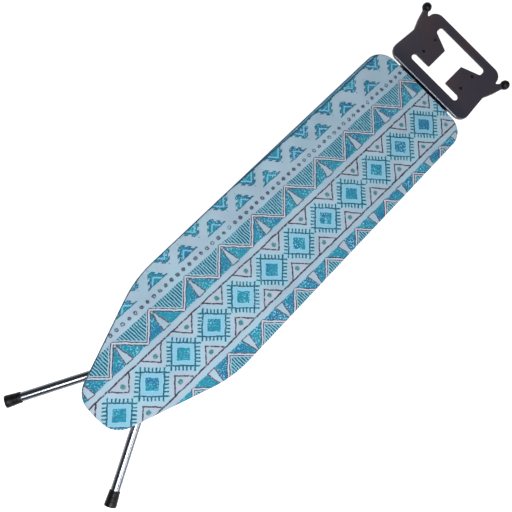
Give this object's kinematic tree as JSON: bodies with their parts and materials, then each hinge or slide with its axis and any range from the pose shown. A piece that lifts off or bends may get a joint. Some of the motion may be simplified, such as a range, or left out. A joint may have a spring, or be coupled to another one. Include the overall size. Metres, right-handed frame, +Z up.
{
  "type": "ironing board",
  "caption": "Folding ironing board, folded flat: printed cover on a steel deck, crossed chrome legs that slide in rails, and a pressed steel iron rest with two horns.",
  "frame": {"origin": "under the middle of the folded object's box, on the surface that it lies on", "axes": "+X along the board towards its rounded nose, +Y to the left side, +Z up through the ironing surface"},
  "size_m": [1.5381, 0.3572, 0.065],
  "materials": {
    "printed_cotton": "printed cotton, blue and teal on pale grey-blue",
    "felt": "needled felt",
    "elastic": "braided cord",
    "grey_enamel": "satin grey enamel",
    "dark_powder_coat": "fine-textured dark powder coat",
    "chrome_tube": "bright chrome",
    "zinc_steel": "zinc plated",
    "black_rubber": "matt moulded rubber",
    "black_plastic": "moulded nylon"
  },
  "bodies": {
    "board": {"cover": "printed_cotton", "hem_elastic": "elastic", "felt_pad": "felt", "deck_sheet": "grey_enamel", "rim_frame": "grey_enamel", "cross_brace_tail": "grey_enamel", "cross_brace_middle": "grey_enamel", "cross_brace_nose": "grey_enamel", "height_rack": "zinc_steel", "hinge_bracket_left": "zinc_steel", "hinge_bolt_left": "zinc_steel", "hinge_nut_left": "zinc_steel", "guide_rail_left": "zinc_steel", "hinge_bracket_right": "zinc_steel", "hinge_bolt_right": "zinc_steel", "hinge_nut_right": "zinc_steel", "guide_rail_right": "zinc_steel", "iron_rest_plate": "dark_powder_coat", "rest_pad_near_left": "black_rubber", "rest_pad_near_right": "black_rubber", "rest_pad_far_left": "black_rubber", "rest_pad_far_right": "black_rubber", "rest_screw_left": "zinc_steel", "horn_ball_left": "black_rubber", "rest_screw_right": "zinc_steel", "horn_ball_right": "black_rubber"},
    "outer_leg": {"outer_leg_tube_left": "chrome_tube", "outer_foot_cap_left": "black_rubber", "outer_leg_plug_left": "black_plastic", "pivot_spacer_left": "black_plastic", "axle_nut_left": "zinc_steel", "outer_leg_tube_right": "chrome_tube", "outer_foot_cap_right": "black_rubber", "outer_leg_plug_right": "black_plastic", "pivot_spacer_right": "black_plastic", "axle_nut_right": "zinc_steel", "outer_leg_spreader": "chrome_tube", "centre_axle": "zinc_steel"},
    "inner_leg": {"inner_leg_tube_left": "chrome_tube", "inner_foot_cap_left": "black_rubber", "inner_leg_plug_left": "black_plastic", "slide_bar_clip_left": "zinc_steel", "inner_leg_tube_right": "chrome_tube", "inner_foot_cap_right": "black_rubber", "inner_leg_plug_right": "black_plastic", "slide_bar_clip_right": "zinc_steel", "inner_leg_spreader_upper": "chrome_tube", "inner_leg_spreader_lower": "chrome_tube", "slide_bar": "zinc_steel"},
    "slide_shoes": {"slide_shoe_left": "black_plastic", "slide_shoe_right": "black_plastic"},
    "height_catch": {"catch_block": "black_plastic", "catch_pin": "zinc_steel", "release_lever": "zinc_steel", "lever_grip": "black_plastic"}
  },
  "joints": [
    {"name": "outer_leg_hinge", "type": "hinge", "parent": "board", "child": "outer_leg", "pos_m": [0.507, 0, 0.0145], "axis": [0, -1, 0], "range_deg": [0, 51]},
    {"name": "centre_pivot", "type": "hinge", "parent": "outer_leg", "child": "inner_leg", "pos_m": [0.111, 0, 0.0145], "axis": [0, 1, 0], "range_deg": [0, 102]},
    {"name": "shoe_swivel", "type": "hinge", "parent": "inner_leg", "child": "slide_shoes", "pos_m": [-0.285, 0, 0.0145], "axis": [0, -1, 0], "range_deg": [0, 51]},
    {"name": "catch_release", "type": "hinge", "parent": "slide_shoes", "child": "height_catch", "pos_m": [-0.285, 0, 0.0145], "axis": [0, -1, 0], "range_deg": [-8, 8], "stiffness_Nm_per_rad": 1.5}
  ],
  "couplings": [
    {"joint": "centre_pivot", "follows": "outer_leg_hinge", "ratio": 2},
    {"joint": "shoe_swivel", "follows": "outer_leg_hinge", "ratio": 1}
  ]
}
